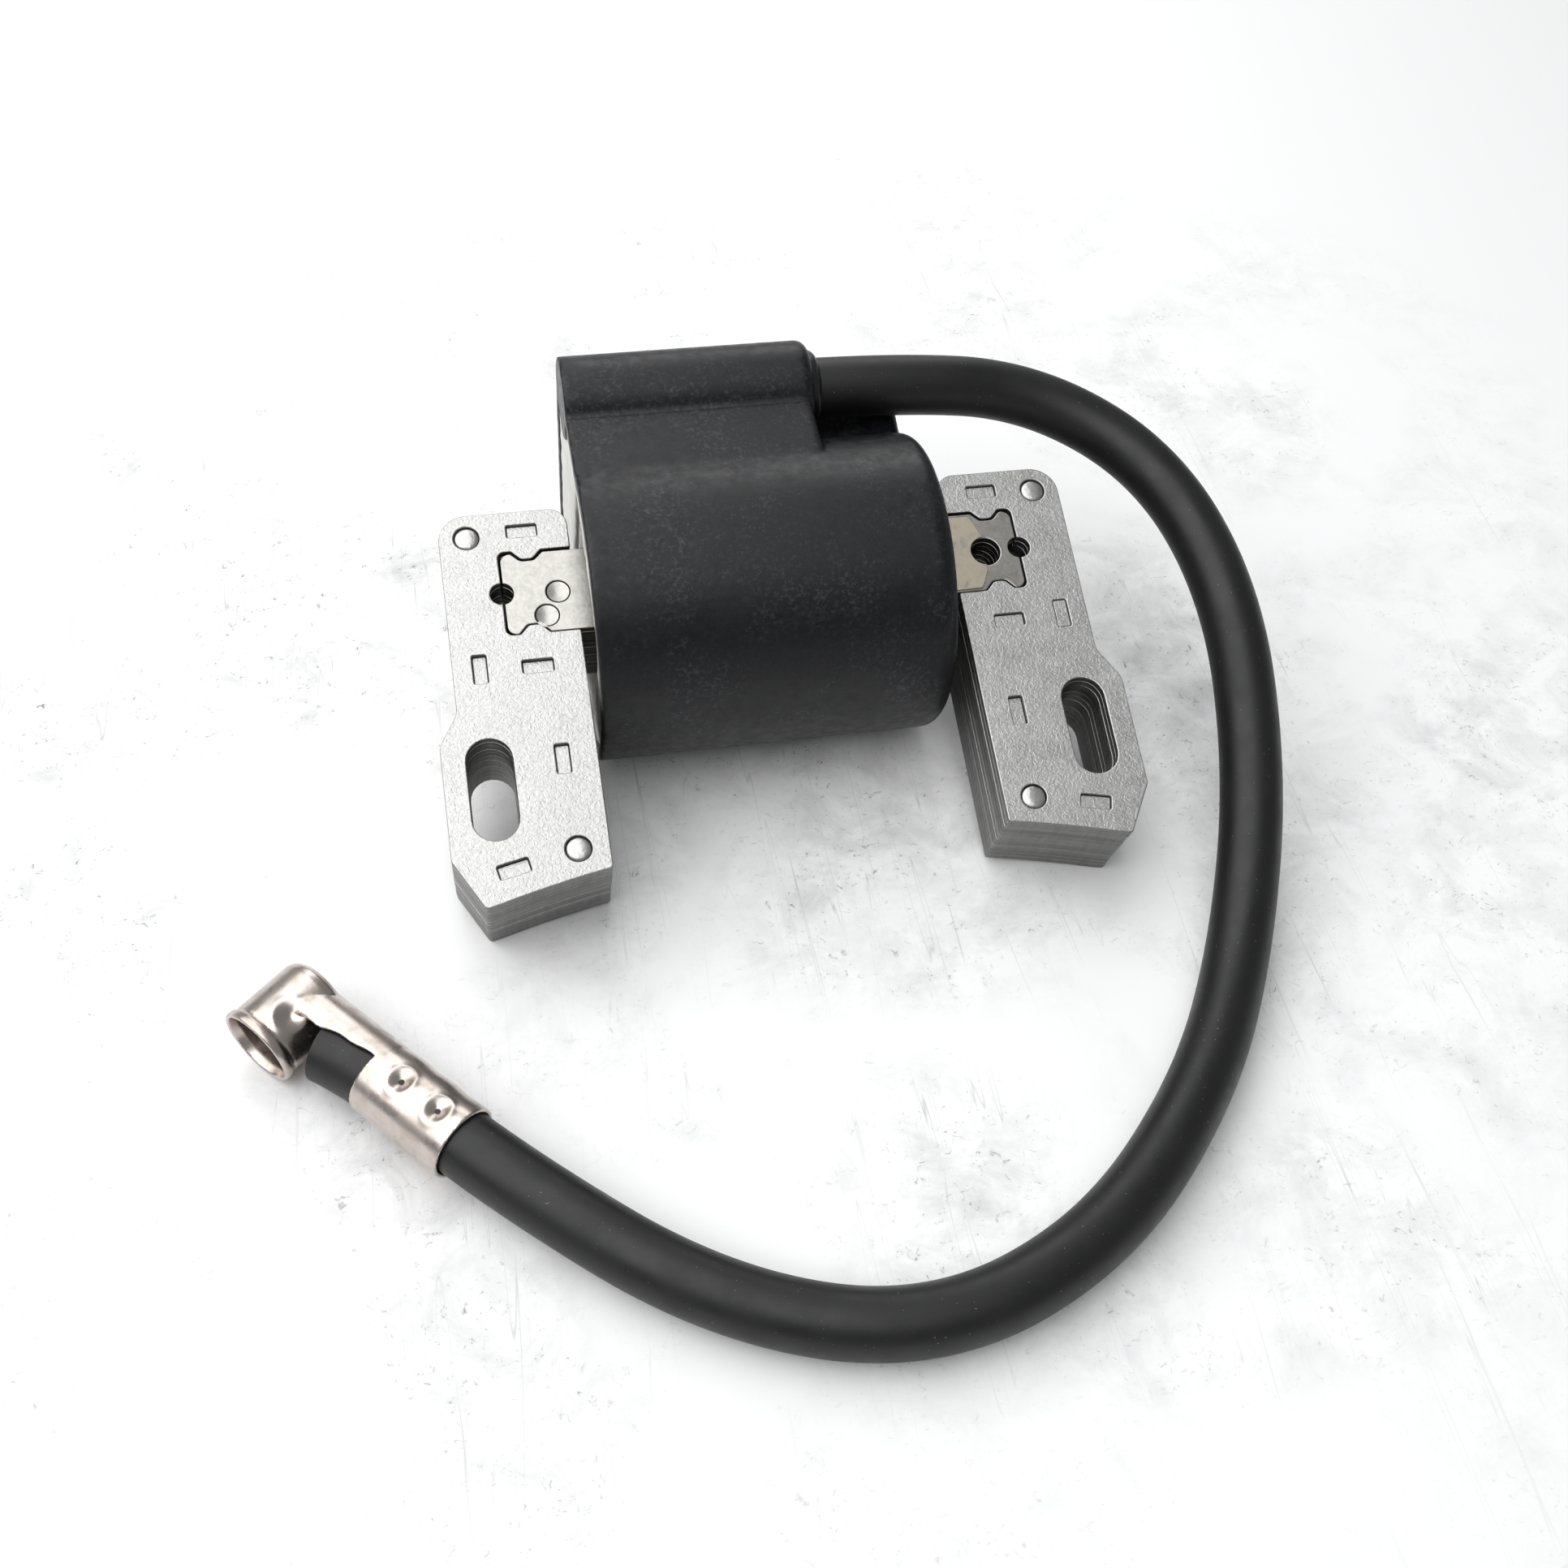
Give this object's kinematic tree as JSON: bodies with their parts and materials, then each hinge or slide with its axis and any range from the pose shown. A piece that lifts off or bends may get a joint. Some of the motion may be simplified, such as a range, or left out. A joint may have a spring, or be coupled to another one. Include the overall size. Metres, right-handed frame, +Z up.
{
  "type": "ignition coil",
  "caption": "Small-engine ignition coil: moulded coil on a laminated core with two slotted legs, and a rubber lead with a spark plug clip.",
  "frame": {"origin": "middle of the resting coil's footprint box, at the level of the table it lies on; the lead and its clip are left out of that box", "axes": "+X along the coil's axis from the potted end to the closed end, +Y away from the flywheel, +Z up from the table. The laminations lie tilted by 18.5 degrees about X, because the loose coil rests on its barrel and on the legs' lower corners."},
  "size_m": [0.1196, 0.1205, 0.0382],
  "materials": {
    "lamination_steel": "plated silicon steel sheet, fine orange peel, slightly mottled",
    "bright_lamination_steel": "bare bright silicon steel sheet, warm tone",
    "rivet_steel": "plated steel",
    "housing_plastic": "black glass-filled moulding with pale specks",
    "potting_resin": "cast pale grey epoxy",
    "bobbin_plastic": "dark moulded nylon",
    "wedge_plastic": "pale moulded nylon",
    "enamelled_copper": "enamelled copper wire",
    "insulating_film": "yellow polyester film",
    "board_laminate": "glass-epoxy board with solder resist",
    "component_plastic": "black moulded epoxy",
    "resistor_lacquer": "beige lacquer",
    "contact_brass": "bright brass",
    "tinned_steel": "tin-plated spring steel",
    "lead_rubber": "black rubber, matte"
  },
  "bodies": {
    "root": {"right_leg_laminations": "lamination_steel", "left_leg_laminations": "lamination_steel", "core_bar_laminations": "bright_lamination_steel", "leg_rivets": "rivet_steel", "earth_strap": "tinned_steel", "coil_housing": "housing_plastic", "end_potting": "potting_resin", "primary_bobbin": "bobbin_plastic", "core_wedge": "wedge_plastic", "primary_winding": "enamelled_copper", "trigger_winding": "enamelled_copper", "winding_sleeve": "insulating_film", "secondary_bobbin": "bobbin_plastic", "secondary_winding": "enamelled_copper", "trigger_board": "board_laminate", "power_transistor": "component_plastic", "board_resistors": "resistor_lacquer", "board_diode": "component_plastic", "module_wires": "enamelled_copper", "contact_pin": "contact_brass", "secondary_output_wire": "enamelled_copper", "stop_switch_tab": "tinned_steel", "lead_seal": "lead_rubber", "lead_insulation": "lead_rubber", "lead_conductor": "enamelled_copper", "spark_plug_clip": "tinned_steel"}
  },
  "joints": []
}
